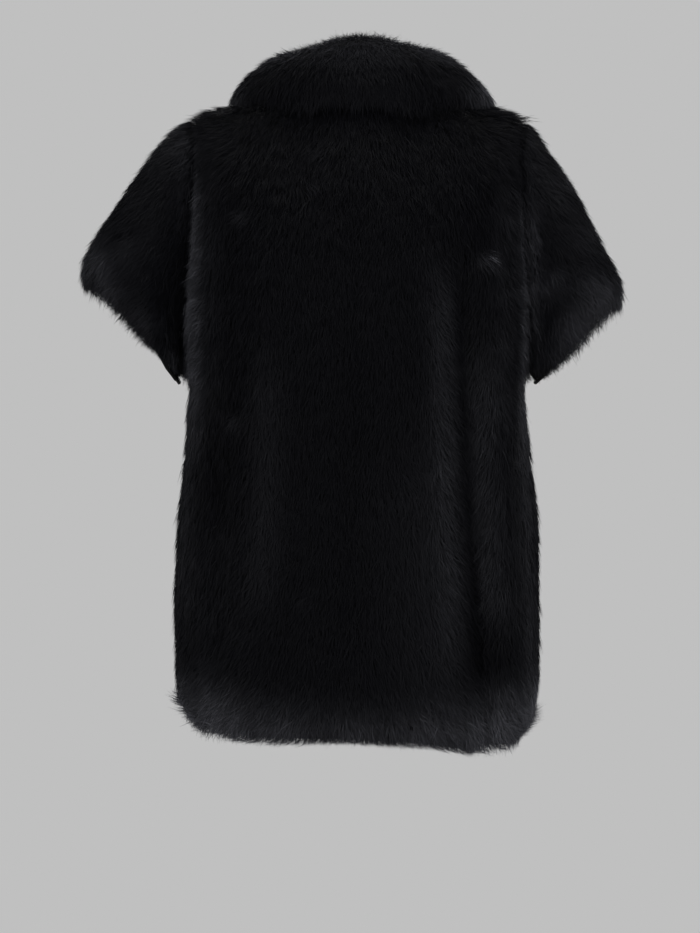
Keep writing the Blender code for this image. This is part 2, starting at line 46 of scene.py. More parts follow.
# Backing: the knitted cloth lies under the pile, inside the wall of each solid.
NODES = ("back", "front_left", "front_right", "sleeve_left", "sleeve_right", "collar")
BACKING_DEPTH, BACKING_THICKNESS = 0.011, 0.003
COLLAR_CORE_DEPTH = 0.0055
SAME_PLACE, NO_LENGTH = 0.00002, 0.00001
SEAM_REACH = 0.0015
RIM_SHARE = 0.5
OUTWARD_TURN, CUFF_RIM_TURN = 0.02, 0.80
COLLAR_FOOT_TURN, COLLAR_FOOT_RADIUS = 0.6, 0.12
BARE_TOP_Z, BARE_DOWN_TURN, BARE_INWARD_TURN = 0.05, -0.25, 0.15
HEM_TOP_Z, CUFF_TOP = -0.69, 0.060
HEM_DRAW, CUFF_DRAW = 0.18, 0.08

# The middle of the hollow that the trunk and each sleeve go round.
CORE_LOW_Z, CORE_HIGH_Z = -0.74, -0.10
SLEEVE_AXIS = {
    "sleeve_left": ((0.20, 0.0, -0.165), (0.268, 0.0, -0.250)),
    "sleeve_right": ((-0.20, 0.0, -0.165), (-0.262, 0.0, -0.262)),
}

# Pile. Each row: its piece, the panel that it grows on, how many hairs, their length, their climb
# off the cloth at the foot and at the tip in radians, the heights it grows between, and its seed.
HAIR_ROWS = (
    ("fur_back_lower", "back", 98000, 0.031, 0.58, 0.14, -0.80, -0.36, 11),
    ("fur_back_upper", "back", 92000, 0.029, 0.60, 0.14, -0.36, 0.10, 12),
    ("fur_front_left", "front_left", 62000, 0.031, 0.58, 0.14, -0.80, 0.10, 13),
    ("fur_front_right", "front_right", 62000, 0.031, 0.58, 0.14, -0.80, 0.10, 14),
    ("fur_sleeve_left", "sleeve_left", 42000, 0.030, 0.60, 0.16, -0.80, 0.10, 15),
    ("fur_sleeve_right", "sleeve_right", 42000, 0.030, 0.60, 0.16, -0.80, 0.10, 16),
    ("fur_collar", "collar", 72000, 0.025, 0.42, 0.12, -0.80, 0.20, 17),
)
# A hair is a flat kite: foot, two waist corners, tip.
HAIR_CORNERS, HAIR_TRIANGLES = 4, (0, 2, 1, 1, 2, 3)
HAIR_WIDTH, WIDTH_SPREAD = 0.00054, (0.7, 1.25)
# How far hairs roll about themselves, where the cloth faces sideways and where it faces back.
ROLL_FACING, HAIR_ROLL = (0.2, 0.8), (1.20, 0.14)

# Locks: hairs that turn, lift and end alike.
HAIRS_IN_LOCK = 8
LOCK_PULL, WAIST_PULL = (0.0, 0.18), 0.45
LOCK_TURN, HAIR_TURN = 0.06, 0.28
COLLAR_TANGLE_Z, COLLAR_TANGLE = (0.05, 0.03), 0.45
HEM_TANGLE_Z, HEM_TANGLE = (-0.66, 0.05), 0.12
LOCK_LENGTH_SPREAD, LENGTH_SPREAD = 0.12, 0.38
SLEEVE_FOOT_Z, SLEEVE_FOOT_SHORTER = (-0.265, 0.045), 0.5
LEAF_EDGE_GROWTH = 0.6
LOCK_LIFT_SPREAD, FOOT_LIFT_SPREAD, TIP_LIFT_SPREAD = 0.05, 0.06, 0.07
COLLAR_UNDERSIDE, COLLAR_UNDERSIDE_LIFT = (-0.1, 0.5), 0.9
LEAF_EDGE_PRESS, SHOULDER_LIFT = 0.25, 0.15

# How far tips may stand out of the solid's form, and how much further over the next piece.
LEAST_FREEDOM, FREEDOM_SPREAD = -0.0010, 0.0048
LOCK_REACH, HAIR_REACH, REACH_SPREAD = 0.5, 0.6, (0.35, 1.15)
CUT_ROUNDS, SHORTEST_SHARE, SHORTEST_HAIR = 2, 0.15, 1e-6
ROLL_TURN, ROLL_TOP_Z, ROLL_REACH = (0.2, 0.5), (0.05, 0.02), 0.004
LEAF_EDGE_REACH, SHOULDER_REACH = 0.030, 0.008
CUFF_REACH = {"sleeve_left": 0.012, "sleeve_right": 0.018}
HEM_Z, HEM_REACH = (-0.68, 0.03), 0.011
LEFT_CORNER_X, LEFT_CORNER_REACH = (0.14, 0.03), 0.012
RIGHT_CORNER_X, RIGHT_CORNER_REACH = (-0.14, 0.02), 0.008
ARMHOLE_REACH = (0.017, 0.027)  # left, right
UNDERARM_X, UNDERARM_Z, UNDERARM_RADIUS, UNDERARM_REACH = -0.17, -0.335, 0.03, 0.010

# Where the armholes, the shoulders' tops and the cuffs are, for the pile.
ARMHOLE_X, ARMHOLE_FOOT_Z = (0.172, 0.016), (-0.37, 0.05)
SHOULDER_TURN, SHOULDER_X = (0.2, 0.4), (0.13, 0.03)
CUFF_SHARE = (0.45, 0.6)

# The collar leaf's lower edge: how far round from the middle of the back, in degrees, and height.
LEAF_TURNS = (0.0, 45.0, 80.0, 100.0, 125.0, 155.0, 180.0)
LEAF_EDGE_Z = (0.012, 0.012, 0.021, 0.020, -0.015, -0.075, -0.125)
LEAF_EDGE_ABOVE, LEAF_EDGE_HEIGHT = 0.034, 0.026
LEAF_SHOWN_TURN = (-0.3, 0.3)

# The lowest that the pile hangs, as (x, z) across the back's hem and at the sleeves' low corners.
PILE_ENDS = {
    "back": (
        (-0.196, -0.728), (-0.188, -0.746), (-0.175, -0.759), (-0.152, -0.758), (-0.129, -0.749),
        (-0.106, -0.742), (-0.083, -0.739), (-0.037, -0.736), (0.009, -0.733), (0.032, -0.733),
        (0.078, -0.736), (0.124, -0.736), (0.170, -0.738),
    ),
    "sleeve_left": (
        (0.195, -0.322), (0.208, -0.311), (0.221, -0.299), (0.231, -0.289), (0.245, -0.278),
        (0.262, -0.266), (0.263, -1.0),
    ),
    "sleeve_right": (
        (-0.263, -1.0), (-0.258, -0.285), (-0.245, -0.296), (-0.239, -0.304), (-0.211, -0.311),
        (-0.195, -0.324),
    ),
}
WISP = 0.0022

# The lie of the pile on the trunk: how far it leans aside for each metre down.
SIDE_X, SIDE_LEAN, ARMHOLE_LEAN = 0.10, 0.06, 2.2
FAN_Z, FAN_X, FAN_LEAN = (-0.46, 0.24), 0.20, 0.95
SHOULDER_LEAN = 2.4
TOP_TURN, TOP_LEAN = (0.35, 0.5), 0.8
OPENING_X, OPENING_LEAN = (0.03, 0.02), 0.5
# The valley beside the back's deep fold: its line down the back, into which the pile leans.
VALLEY_Z = (-0.75, -0.575, -0.25, -0.12)
VALLEY_X = (-0.152, -0.147, -0.116, -0.112)
VALLEY_LEAN, VALLEY_REACH, VALLEY_CREASE = 0.75, 0.034, 0.006
VALLEY_TOP_Z, VALLEY_FOOT_Z = (-0.12, 0.12), (-0.74, 0.10)

# The lie on the sleeves and the collar: the droop, and the fall of the leaf against its way out.
SLEEVE_DROOP = 0.10
LEAF_FALL, LEAF_EDGE_FALL, LEAF_EDGE_TUCK = 0.55, 0.8, 1.05
STAND_TURN, STAND_RISE = (0.1, 0.5), 2.2

# Slow waves in the lie: the angle, then radians for each metre of x, y and z, and the start.
DRIFT_WAVES = (
    (0.06, 21.0, 0.0, 9.0, 1.3),
    (0.05, -13.0, 8.0, 27.0, 0.0),
    (0.05, 47.0, -19.0, 33.0, 2.1),
)

# Whorls in the lie of the back's pile: x and z of the middle, radius, angle, and how much paler
# its painted sheen makes it.
COWLICKS = (
    (-0.145, -0.166, 0.014, 1.2, 11.0),
    (0.129, -0.114, 0.012, -1.0, 3.0),
    (0.141, -0.354, 0.013, -0.8, 2.5),
    (0.061, -0.082, 0.012, 0.8, 2.0),
    (0.039, -0.042, 0.012, -0.7, 1.0),
    (-0.060, -0.420, 0.014, 0.6, 0.8),
    (0.050, -0.560, 0.014, -0.5, 0.8),
)
COWLICK_SHEEN_SHARE = 0.5

# Painted light and shade: the pile is painted paler along a fold's ridge or an edge, where light
# catches it, and darker in a valley, where shade falls. Columns: x of its middle at the top and at
# the bottom, z of the top and the bottom, half width, and how much paler.
BACK_PAINTED_LIGHT_AND_SHADE = (
    (-0.090, -0.104, -0.120, -0.690, 0.015, 2.6),
    (-0.080, -0.080, -0.300, -0.720, 0.028, 0.7),
    (-0.142, -0.168, -0.230, -0.640, 0.020, 2.8),
    (-0.193, -0.205, -0.300, -0.780, 0.012, 3.0),
    (-0.116, -0.140, -0.130, -0.740, 0.006, -0.3),
    (-0.152, -0.164, -0.550, -0.730, 0.018, -0.8),
    (0.104, 0.108, -0.240, -0.600, 0.020, 1.3),
    (0.196, 0.204, -0.340, -0.620, 0.012, 1.6),
    (-0.050, -0.070, -0.360, -0.740, 0.045, 0.6),
    (0.165, 0.180, -0.430, -0.720, 0.040, 0.9),
    (0.004, 0.012, -0.200, -0.660, 0.016, -0.2),
)
FRONT_PAINTED_LIGHT_AND_SHADE = (
    (0.096, 0.100, -0.180, -0.700, 0.020, 0.7),
    (-0.090, -0.100, -0.180, -0.700, 0.020, 0.7),
    (0.128, 0.146, -0.200, -0.770, 0.012, -0.4),
    (-0.122, -0.150, -0.220, -0.770, 0.012, -0.4),
)
SLEEVE_PAINTED_LIGHT = (
    (-0.197, -0.203, -0.060, -0.370, 0.008, 8.0),
    (-0.192, -0.196, 0.020, -0.120, 0.008, 1.8),
    (0.197, 0.199, 0.020, -0.150, 0.008, 1.5),
)
STREAK_END = 0.25

# Patches of painted light on the collar and the sleeves, where light catches the pile's rims and
# fringes: x and z of the middle, radius, and how much paler.
COLLAR_PAINTED_LIGHT = ((-0.150, 0.040, 0.022, 6.0), (0.140, 0.034, 0.016, 2.0))
SLEEVE_PAINTED_LIGHT_PATCHES = (
    (-0.239, -0.065, 0.030, 1.6),
    (-0.270, -0.130, 0.025, 1.6),
    (-0.225, -0.180, 0.011, 2.2),
    (-0.235, -0.280, 0.022, 2.2),
    (0.205, -0.020, 0.030, 1.0),
    (0.207, -0.290, 0.022, 3.5),
    (-0.292, -0.212, 0.030, 6.5),
    (-0.250, -0.244, 0.024, 5.0),
    (-0.215, -0.196, 0.016, 2.4),
    (-0.262, -0.190, 0.014, 2.4),
    (0.305, -0.165, 0.022, 5.5),
    (0.290, -0.205, 0.020, 5.0),
    (0.262, -0.150, 0.012, 1.6),
    (0.245, -0.235, 0.018, 2.0),
)

# Tone of the pile elsewhere: each part's own, and the painted light that makes it paler towards an
# edge, where light catches the pile's rim. Of an armhole's two values, the first is the left side's
# and the second the right side's.
# Painted light on the collar's roll and on its leaf's lower edge.
COLLAR_TONE, LEAF_EDGE_PAINTED_LIGHT = 0.78, 0.1
ROLL_FOOT_Z, ROLL_INNER_TURN, ROLL_PAINTED_LIGHT = (0.055, 0.03), (0.0, 0.4), 2.9
# Painted light on the sleeves, paler towards the cuff's rim.
SLEEVE_TONE, CUFF_PAINTED_LIGHT, CUFF_POWER, SLEEVE_BACK_Y = 0.8, 1.6, 3, (0.0, 0.03)
TRUNK_TONE, DARKEST = 0.68, 0.3
YOKE_Z, YOKE_DARKER = (-0.20, 0.10), 0.20
# Painted light on the hem: the pile there is made paler where it fans out and catches the light.
HEM_PALE_Z, HEM_PALE_HEIGHT, HEM_POWER, HEM_PAINTED_LIGHT = -0.640, 0.115, 1.5, 9.0
HEM_CORNER_X, HEM_CORNER_POWER, HEM_CORNER_RISE, HEM_CORNER_PAINTED_LIGHT = 0.17, 2, 0.030, 6.4
# Painted rim light on the armhole edges, with a faint halo of it beside them.
ARMHOLE_PALE_X, ARMHOLE_PALE_WIDTH, ARMHOLE_PAINTED_LIGHT = (0.176, 0.184), 0.012, (8.5, 11.0)
ARMHOLE_HALO_X, ARMHOLE_HALO = (0.145, 0.03), 0.14
ARMHOLE_PALE_FOOT_Z = (-0.42, 0.14)
ARMHOLE_FADES = ((0.35, -0.005, 0.02), (0.65, -0.05, 0.05))
ARMHOLE_FACING, ARMHOLE_FACING_LEAST = 0.5, 0.5
# Painted light on the back just under the collar's leaf, lifting the shade that the leaf casts.
NECK_Z, NECK_X, NECK_PAINTED_LIGHT = (-0.022, 0.02), (0.15, 0.02), 0.15
# Uneven streaks in the painted light along the hem and the armholes: radians for each metre along
# and across the edge, and the start.
STREAK_WAVES = ((83.0, 7.0, 0.0), (211.0, -31.0, 1.7))
STREAK_GAIN = 0.3

# Tone from hair to hair: wider, and stronger from foot to tip, where the pile is paler.
SPREAD_PALE, TONE_SPREAD, TONE_BALANCE = (1.0, 4.0), (0.06, 0.42), 0.3
LOCK_TONE_SPREAD, LOCK_TONE_LIMITS = 0.05, (0.7, 1.4)
# Painted rim light: the pile is made paler where the cloth faces sideways, towards the outline.
RIM_LIGHT_FACING, RIM_LIGHT_GAIN = (0.55, 0.4), 1.5
CONTRAST_PALE, CONTRAST = (1.0, 3.0), (0.3, 0.9)
FOOT_TO_TIP_TONES = (0.65, 1.1, 1.1, 1.5)

# Surfaces. A tone of 32 shows the pile's palest colour.
PILE_COLOURS = ((0.0002, 0.0002, 0.0008, 1.0), (0.0690, 0.0700, 0.0800, 1.0))
TONE_SCALE = 0.03125
PILE_SURFACE = {
    "Roughness": 0.50,
    "Specular IOR Level": 0.03,
    "Sheen Weight": 0.030,
    "Sheen Roughness": 0.25,
}
BACKING_COLOURS = ((0.0020, 0.0020, 0.0022, 1.0), (0.0050, 0.0050, 0.0055, 1.0))
BACKING_SURFACE = {"Roughness": 0.85, "Specular IOR Level": 0.15}
KNIT = {"Scale": 160.0, "Distortion": 2.0, "Detail": 2.0}
KNIT_RELIEF = {"Strength": 0.4, "Distance": 0.0006}
FLOOR_SURFACE = {"Base Color": (0.44, 0.44, 0.44, 1.0), "Roughness": 0.9}
WORLD_LIGHT = {"Color": (0.527, 0.527, 0.527, 1.0), "Strength": 1.0}

# Camera: level, square to the back, as far off as the photograph suggests.
CAMERA_PLACE, CAMERA_TURN = (0.009, 3.615, -0.4146), (90.0, 0.0, 180.0)
CAMERA_LENS, CAMERA_SENSOR = 116.2, 36.0

# Lights: name, place, size and power; all of them aim at the middle of the garment.
LIGHTS = (
    ("front_left", (1.9, 2.6, 0.9), 1.6, 60.0),
    ("front_right", (-1.9, 2.6, 0.9), 1.6, 60.0),
    ("top", (0.0, 0.4, 2.2), 1.8, 45.0),
    ("far_side", (0.0, -2.8, 0.6), 1.8, 40.0),
)
AIM = Vector((0.0, 0.0, -0.35))
FLOOR_Z, FLOOR_RADIUS, FLOOR_SIDES = -1.50, 2.4, 96

# Each panel's flat cut: width, length, area, which is less than a rectangle's, and how it is held.
SHEETS = (
    ("back", 0.56, 0.84, 0.40, "draped"),
    ("front_left", 0.30, 0.83, 0.20, "draped"),
    ("front_right", 0.30, 0.83, 0.20, "draped"),
    ("sleeve_left", 0.42, 0.20, 0.060, "draped"),
    ("sleeve_right", 0.42, 0.20, 0.058, "draped"),
    ("collar", 0.56, 0.16, 0.072, "folded"),
)
FLAT = np.array([1.0, 1.0, 0.0])
NO_SIZE = 1e-9


def smooth(share):
    share = np.clip(share, 0.0, 1.0)
    return share * share * (3.0 - 2.0 * share)


def rise(value, start, width):
    """From 0 at the start to 1 one width above it."""
    return smooth((value - start) / width)


def fall(value, start, width):
    """From 0 at the start to 1 one width below it."""
    return smooth((start - value) / width)


def hump(distance, radius):
    return np.exp(-((distance / radius) ** 2))


def unit(vectors):
    return vectors / np.maximum(np.linalg.norm(vectors, axis=-1, keepdims=True), NO_SIZE)


def dot(first, second):
    return np.sum(first * second, axis=-1)


def turned(vectors, axes, angles):
    """Each vector turned about its own axis."""
    cosine, sine = np.cos(angles)[:, None], np.sin(angles)[:, None]
    along = dot(vectors, axes)[:, None]
    return vectors * cosine + np.cross(axes, vectors) * sine + axes * along * (1.0 - cosine)


def merged_copy(node):
    mesh = bmesh.new()
    mesh.from_mesh(bpy.data.objects[node].data)
    bmesh.ops.remove_doubles(mesh, verts=mesh.verts, dist=SAME_PLACE)
    bmesh.ops.dissolve_degenerate(mesh, edges=mesh.edges, dist=NO_LENGTH)
    mesh.normal_update()
    return mesh


def form_of(node):
    mesh = merged_copy(node)
    form = BVHTree.FromBMesh(mesh)
    mesh.free()
    return form


def sleeve_along(node):
    start, end = (Vector(place) for place in SLEEVE_AXIS[node])
    return (end - start).normalized()


def outward_of(node, place):
    """From the middle of the hollow that a piece goes round, out to a place on it."""
    if node in SLEEVE_AXIS:
        along = sleeve_along(node)
        from_start = place - Vector(SLEEVE_AXIS[node][0])
        return from_start - along * from_start.dot(along)
    return place - Vector((0.0, 0.0, min(max(place.z, CORE_LOW_Z), CORE_HIGH_Z)))


def is_outside(node, face, forms):
    """On the piece's outer side, and not in a seam, with the next piece a hair's breadth off."""
    place, normal = face.calc_center_median(), face.normal
    if normal.dot(outward_of(node, place).normalized()) < OUTWARD_TURN:
        return False
    if node in SLEEVE_AXIS and normal.dot(sleeve_along(node)) > CUFF_RIM_TURN:
        return False
    others = (forms[other] for other in NODES if other not in (node, "collar"))
    return all(form.ray_cast(place, normal, SEAM_REACH)[0] is None for form in others)


def is_rim(edge, outside):
    return not any(face in outside for face in edge.link_faces)


def rim_way(vert, outside):
    """From a rim's outer edge to the inner one, so that pieces that meet stay together."""
    rim = [edge for edge in vert.link_edges if is_rim(edge, outside)]
    nearest = min(rim, key=lambda edge: edge.calc_length())
    across = nearest.other_vert(vert).co - vert.co
    return across.normalized() * min(BACKING_DEPTH, across.length * RIM_SHARE)


def edge_draw(node, place):
    """How far the backing's open edge is drawn up, so that the pile hangs past it."""
    if node in SLEEVE_AXIS:
        along = sleeve_along(node)
        past = along.dot(place - Vector(SLEEVE_AXIS[node][0])) - CUFF_TOP
        return -along * CUFF_DRAW * max(past, 0.0)
    return Vector((0.0, 0.0, HEM_DRAW * max(HEM_TOP_Z - place.z, 0.0)))


def outside_skin(node, forms):
    """The outside of a piece, as one open skin that knows the way in to the backing."""
    mesh = merged_copy(node)
    outside = {face for face in mesh.faces if is_outside(node, face, forms)}
    ways = mesh.verts.layers.float_vector.new("way")
    for vert in mesh.verts:
        vert[ways] = -vert.normal * BACKING_DEPTH
        shown = [face in outside for face in vert.link_faces]
        has_rim = any(is_rim(edge, outside) for edge in vert.link_edges)
        if any(shown) and not all(shown) and has_rim:
            vert[ways] = rim_way(vert, outside)
        vert[ways] = vert[ways] + edge_draw(node, vert.co)
    inside = [face for face in mesh.faces if face not in outside]
    bmesh.ops.delete(mesh, geom=inside, context="FACES")
    mesh.normal_update()
    return mesh


def collar_skin():
    """The whole collar; its foot isn't drawn up from the neckline that it stands on."""
    mesh = merged_copy("collar")
    ways = mesh.verts.layers.float_vector.new("way")
    for vert in mesh.verts:
        way = -vert.normal
        if way.z > COLLAR_FOOT_TURN and vert.co.to_2d().length < COLLAR_FOOT_RADIUS:
            way.z = 0.0
        vert[ways] = way * COLLAR_CORE_DEPTH
    return mesh


def move_in(mesh):
    ways = mesh.verts.layers.float_vector["way"]
    for vert in mesh.verts:
        vert.co += vert[ways]
    mesh.verts.layers.float_vector.remove(ways)


def mesh_data(name, mesh):
    data = bpy.data.meshes.new(name)
    mesh.to_mesh(data)
    mesh.free()
    return data


def put_in_scene(name, data):
    thing = bpy.data.objects.new(name, data)
    bpy.context.scene.collection.objects.link(thing)
    return thing


def add_piece(name, data, material):
    data.materials.append(material)
    piece = put_in_scene(name, data)
    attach(piece, "root")
    return piece


def add_backing(node, material, forms):
    """The cloth under the pile: a panel's outside skin, or the whole collar, moved in."""
    mesh = collar_skin() if node == "collar" else outside_skin(node, forms)
    move_in(mesh)
    piece = add_piece(f"backing_{node}", mesh_data(f"backing_{node}", mesh), material)
    if node != "collar":
        wall = piece.modifiers.new("thickness", "SOLIDIFY")
        wall.thickness, wall.offset = BACKING_THICKNESS, -1.0
    piece.data.shade_smooth()
    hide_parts(node)
    return piece


def is_bare(face):
    """The leaf's underside and the stand's foot, which no pile shows on."""
    place, normal = face.calc_center_median(), face.normal
    inwards = -normal.dot(Vector((place.x, place.y, 0.0)).normalized())
    faces_in = normal.z < BARE_DOWN_TURN and inwards > BARE_INWARD_TURN
    return place.z < BARE_TOP_Z and faces_in


def corner_places(mesh):
    return np.array([[vert.co[:] for vert in face.verts] for face in mesh.faces])


def skin_arrays(node, forms):
    """Corner places, backing places and normals of every triangle of a piece's hairy side."""
    if node == "collar":
        mesh = collar_skin()
        bare = [face for face in mesh.faces if is_bare(face)]
        bmesh.ops.delete(mesh, geom=bare, context="FACES")
        mesh.normal_update()
    else:
        mesh = outside_skin(node, forms)
    bmesh.ops.triangulate(mesh, faces=mesh.faces)
    places = corner_places(mesh)
    normals = np.array([[vert.normal[:] for vert in face.verts] for face in mesh.faces])
    move_in(mesh)
    backing = corner_places(mesh)
    mesh.free()
    return places, backing, normals


def scatter(places, backing, normals, count, random):
    """Places even over the skin, the hair feet under them, and the skin's normals."""
    sides = np.cross(places[:, 1] - places[:, 0], places[:, 2] - places[:, 0])
    area = np.linalg.norm(sides, axis=1) / 2.0
    chosen = np.searchsorted(np.cumsum(area) / area.sum(), random.random(count))
    chosen = np.minimum(chosen, len(area) - 1)
    a, b = random.random(count), random.random(count)
    over = a + b > 1.0
    a[over], b[over] = 1.0 - a[over], 1.0 - b[over]
    share = np.stack([1.0 - a - b, a, b], axis=1)[..., None]
    skin, feet = (places[chosen] * share).sum(axis=1), (backing[chosen] * share).sum(axis=1)
    return skin, feet, unit((normals[chosen] * share).sum(axis=1))


def beside_armhole(places):
    x, _, z = places.T
    return rise(np.abs(x), *ARMHOLE_X) * rise(z, *ARMHOLE_FOOT_Z)


def on_shoulder(places, normals):
    """On the shoulder's top, beside the collar."""
    return rise(normals[:, 2], *SHOULDER_TURN) * rise(np.abs(places[:, 0]), *SHOULDER_X)


def at_cuff(node, places):
    """How near the sleeve's open end."""
    start, end = (np.array(place) for place in SLEEVE_AXIS[node])
    along = end - start
    share = dot(places - start, unit(along)) / np.linalg.norm(along)
    return rise(share, *CUFF_SHARE)


def leaf_edge(places, normals):
    """How near the leaf's lower edge, on its shown side."""
    x, y, z = places.T
    outwards = unit(places * FLAT)
    edge_z = np.interp(np.degrees(np.arctan2(np.abs(x), y)), LEAF_TURNS, LEAF_EDGE_Z)
    near = fall(z, edge_z + LEAF_EDGE_ABOVE, LEAF_EDGE_HEIGHT)
    return near * rise(dot(normals, outwards), *LEAF_SHOWN_TURN)


def drift(places):
    """Slow wandering of the pile's lie, as an angle."""
    x, y, z = places.T
    return sum(
        angle * np.sin(in_x * x + in_y * y + in_z * z + start)
        for angle, in_x, in_y, in_z, start in DRIFT_WAVES
    )


def trunk_lie(node, places, normals):
    """Down the cloth; aside at the hem, the armholes, the shoulders, the opening and the valley."""
    x, y, z = places.T
    to_side = np.sign(x)
    way = np.zeros(places.shape)
    way[:, 2] = -1.0
    from_middle = to_side * np.minimum(np.abs(x) / SIDE_X, 1.0)
    way[:, 0] = from_middle * (SIDE_LEAN + ARMHOLE_LEAN * beside_armhole(places))
    way[:, 0] += x / FAN_X * FAN_LEAN * fall(z, *FAN_Z)
    if node == "back":
        apart = x - np.interp(z, VALLEY_Z, VALLEY_X)
        near = hump(apart, VALLEY_REACH) * np.minimum(np.abs(apart) / VALLEY_CREASE, 1.0)
        near *= fall(z, *VALLEY_TOP_Z) * rise(z, *VALLEY_FOOT_Z)
        way[:, 0] -= np.sign(apart) * VALLEY_LEAN * near
    outwards = on_shoulder(places, normals)
    way[:, 0] += to_side * SHOULDER_LEAN * outwards
    on_top = rise(normals[:, 2], *TOP_TURN) * (1.0 - outwards)
    way[:, 1] += np.sign(y) * on_top * TOP_LEAN
    if node != "back":
        way[:, 0] -= to_side * OPENING_LEAN * fall(np.abs(x), *OPENING_X)
    return way


def sleeve_lie(node, places):
    """Along the sleeve, drooping a little."""
    start, end = (np.array(place) for place in SLEEVE_AXIS[node])
    return np.tile(unit(end - start) - np.array([0.0, 0.0, SLEEVE_DROOP]), (len(places), 1))


def collar_lie(places, normals):
    """Out from the roll and down the leaf; up and over it on the stand."""
    outwards = unit(places * FLAT)
    at_edge = leaf_edge(places, normals)
    way = outwards * (1.0 - LEAF_EDGE_TUCK * at_edge)[:, None]
    way[:, 2] = -LEAF_FALL - LEAF_EDGE_FALL * at_edge
    way[:, 2] += rise(-dot(normals, outwards), *STAND_TURN) * STAND_RISE
    return way


def lie_of(node, places, normals):
    """Which way the pile lies at each place, along the cloth."""
    if node == "collar":
        way = collar_lie(places, normals)
    elif node in SLEEVE_AXIS:
        way = sleeve_lie(node, places)
    else:
        way = trunk_lie(node, places, normals)
    way = unit(way - normals * dot(way, normals)[:, None])
    angle = drift(places)
    if node == "back":
        for x, z, radius, twist, _ in COWLICKS:
            angle = angle + twist * hump(np.hypot(places[:, 0] - x, places[:, 2] - z), radius)
    return turned(way, normals, angle)


class Locks:
    """Hairs gathered in locks: each one belongs to the nearest of the hairs that lead a lock."""

    def __init__(self, feet, random):
        leaders = random.choice(len(feet), max(len(feet) // HAIRS_IN_LOCK, 1), replace=False)
        tree = KDTree(len(leaders))
        for index, leader in enumerate(leaders):
            tree.insert(feet[leader], index)
        tree.balance()
        self.count = len(leaders)
        self.lock = np.array([tree.find(foot)[1] for foot in feet])
        self.lead = leaders[self.lock]

    def alike(self, draw, *spread):
        """One random draw for each lock, given to all its hairs."""
        return draw(*spread, self.count)[self.lock]


def hair_ways(node, skin, out, locks, random):
    """Each hair's way along the cloth: the pile's lie, turned for its lock and for itself."""
    hair_turn = HAIR_TURN
    if node == "collar":
        hair_turn = HAIR_TURN + COLLAR_TANGLE * rise(skin[:, 2], *COLLAR_TANGLE_Z)
    elif node not in SLEEVE_AXIS:
        hair_turn = HAIR_TURN + HEM_TANGLE * fall(skin[:, 2], *HEM_TANGLE_Z)
    lock_turn = locks.alike(random.normal, 0.0, LOCK_TURN)
    own_turn = random.normal(0.0, 1.0, len(skin)) * hair_turn
    return turned(lie_of(node, skin, out), out, lock_turn + own_turn)


def hair_sizes(node, length, skin, out, locks, random):
    lock_length = locks.alike(random.normal, 1.0, LOCK_LENGTH_SPREAD)
    own_length = 1.0 - LENGTH_SPREAD * random.random(len(skin)) ** 2
    if node in SLEEVE_AXIS:
        own_length *= 1.0 - SLEEVE_FOOT_SHORTER * fall(skin[:, 2], *SLEEVE_FOOT_Z)
    if node == "collar":
        own_length *= 1.0 + LEAF_EDGE_GROWTH * leaf_edge(skin, out)
    return (length * lock_length * own_length)[:, None]


def hair_lifts(node, foot_lift, tip_lift, skin, out, locks, random):
    """Each hair's climb off the cloth, up to its waist and from there to its tip."""
    lift = locks.alike(random.normal, 0.0, LOCK_LIFT_SPREAD)
    if node == "collar":
        lift += COLLAR_UNDERSIDE_LIFT * fall(out[:, 2], *COLLAR_UNDERSIDE)
        lift -= LEAF_EDGE_PRESS * leaf_edge(skin, out)
    elif node not in SLEEVE_AXIS:
        lift += SHOULDER_LIFT * on_shoulder(skin, out)
    first = foot_lift + lift + random.normal(0.0, FOOT_LIFT_SPREAD, len(skin))
    last = tip_lift + lift + random.normal(0.0, TIP_LIFT_SPREAD, len(skin))
    return first[:, None], last[:, None]


def extra_reach(node, skin, out):
    """How much further than elsewhere tips may stand out, over the piece that comes next."""
    x, _, z = skin.T
    if node == "collar":
        on_roll = rise(out[:, 2], *ROLL_TURN) * rise(z, *ROLL_TOP_Z)
        return LEAF_EDGE_REACH * leaf_edge(skin, out) + ROLL_REACH * on_roll
    if node in SLEEVE_AXIS:
        return CUFF_REACH[node] * at_cuff(node, skin)
    at_hem = HEM_REACH + LEFT_CORNER_REACH * rise(x, *LEFT_CORNER_X)
    at_hem += RIGHT_CORNER_REACH * fall(x, *RIGHT_CORNER_X)
    at_hem *= fall(z, *HEM_Z)
    at_armhole = np.where(x > 0.0, *ARMHOLE_REACH) * beside_armhole(skin)
    at_armhole += (x < UNDERARM_X) * UNDERARM_REACH * hump(z - UNDERARM_Z, UNDERARM_RADIUS)
    return at_armhole + SHOULDER_REACH * on_shoulder(skin, out) + at_hem


def tip_freedom(node, skin, out, locks, random):
    """How far out of the solid's form each tip may stand."""
    freedom = LEAST_FREEDOM + np.abs(random.normal(0.0, FREEDOM_SPREAD, len(skin)))
    reach = LOCK_REACH * locks.alike(random.random) + HAIR_REACH * random.random(len(skin))
    return freedom + extra_reach(node, skin, out) * random.uniform(*REACH_SPREAD, len(skin)) * reach


def cut_short(feet, waist, tips, share):
    share = share[:, None]
    return feet + (waist - feet) * share, feet + (tips - feet) * share


